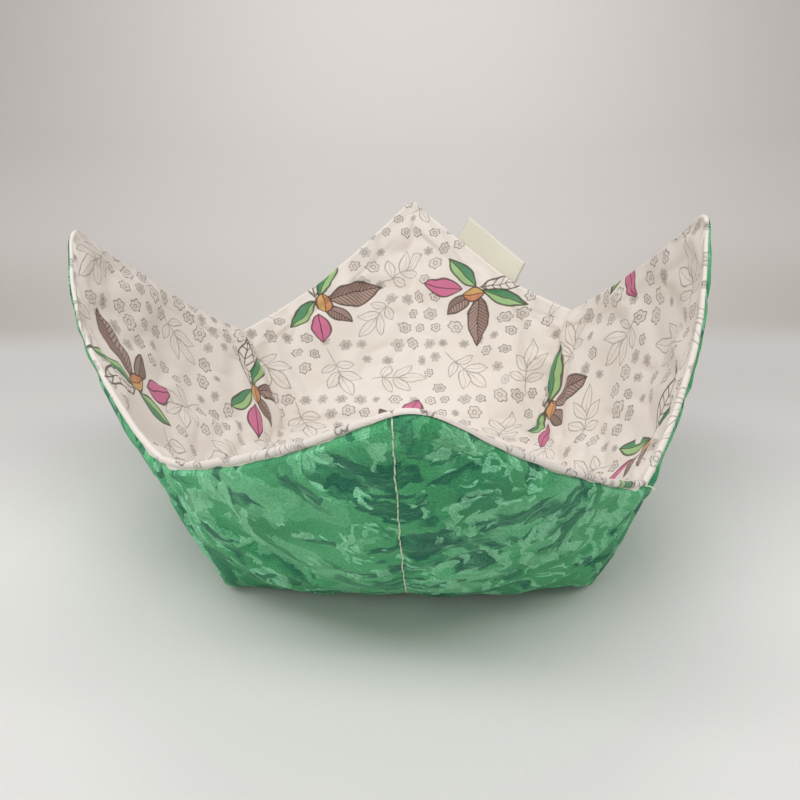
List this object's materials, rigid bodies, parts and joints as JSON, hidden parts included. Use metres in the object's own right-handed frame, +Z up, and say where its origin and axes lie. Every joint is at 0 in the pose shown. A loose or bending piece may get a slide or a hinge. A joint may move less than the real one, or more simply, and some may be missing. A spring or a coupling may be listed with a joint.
{
  "type": "microwave bowl cozy",
  "caption": "Padded cotton bowl cozy: a square cloth darted into a flat-based bowl with raised petal corners, printed lining rolled over the rim.",
  "frame": {"origin": "middle of the flat square base, on the surface that it stands on", "axes": "+Z up out of the bowl, front petal towards -Y, right petal towards +X"},
  "size_m": [0.205, 0.2488, 0.103],
  "materials": {
    "cover_cotton": "mottled green leaf-printed quilting cotton, matt",
    "batting_cotton": "undyed needled cotton batting",
    "lining_cotton": "cream quilting cotton with a line-drawn print, matt",
    "label_tape": "bare cream woven tape"
  },
  "bodies": {
    "root": {"outer_cover": "cover_cotton", "batting": "batting_cotton", "inner_lining": "lining_cotton", "label_tab": "label_tape"}
  },
  "joints": []
}
